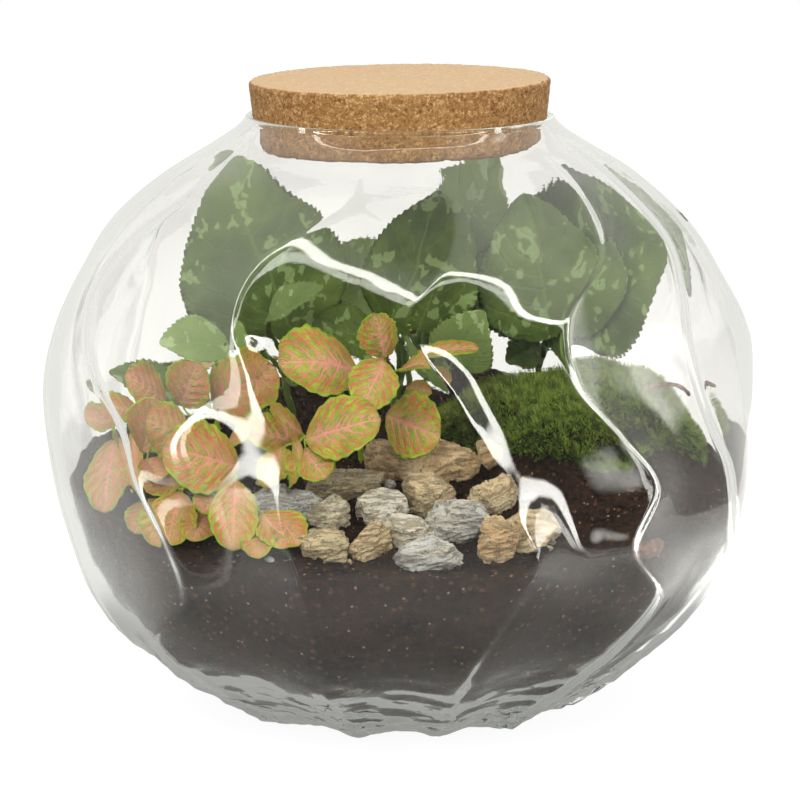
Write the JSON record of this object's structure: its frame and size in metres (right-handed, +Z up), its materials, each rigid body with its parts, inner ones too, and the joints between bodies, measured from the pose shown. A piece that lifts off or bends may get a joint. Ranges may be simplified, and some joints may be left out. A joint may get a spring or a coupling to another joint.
{
  "type": "glass plant terrarium",
  "caption": "Squat folded-glass bowl terrarium with a wide cork stopper, planted with small pink-veined plants, large toothed leaves, moss and stone chips over dark soil.",
  "frame": {"origin": "middle of the bowl's flat foot, on the surface that it stands on", "axes": "+Z up through the neck and the stopper; -Y towards the front of the planting, where the stones lie; +X to the right, seen from the front"},
  "size_m": [0.2468, 0.2426, 0.2196],
  "materials": {
    "glass": "clear blown glass, fire polished",
    "cork": "pressed granulated cork, sanded",
    "soil": "moist potting soil with crumbs and pale grit",
    "moss": "living cushion moss",
    "stone": "rough broken stone",
    "bark": "weathered bark and twig",
    "veined_leaf": "satin leaf, lime green with pink to red net veins",
    "broad_leaf": "satin leaf, dark green with pale blotches"
  },
  "bodies": {
    "root": {"glass_bowl": "glass", "cork_stopper": "cork", "soil": "soil", "moss_mound": "moss", "stone_01": "stone", "stone_02": "stone", "stone_03": "stone", "stone_04": "stone", "stone_05": "stone", "stone_06": "stone", "stone_07": "stone", "stone_08": "stone", "stone_09": "stone", "stone_10": "stone", "stone_11": "stone", "stone_12": "stone", "stone_13": "stone", "stone_14": "stone", "stone_15": "stone", "twig": "bark", "bark_chip": "bark", "veined_plant_far_left": "veined_leaf", "veined_plant_left": "veined_leaf", "veined_plant_front_left": "veined_leaf", "veined_plant_front": "veined_leaf", "veined_plant_middle": "veined_leaf", "veined_plant_centre": "veined_leaf", "veined_plant_right": "veined_leaf", "veined_plant_back_left": "veined_leaf", "veined_plant_back": "veined_leaf", "broad_plant_left": "broad_leaf", "broad_plant_centre": "broad_leaf", "broad_plant_right": "broad_leaf", "broad_plant_back": "broad_leaf"}
  },
  "joints": []
}
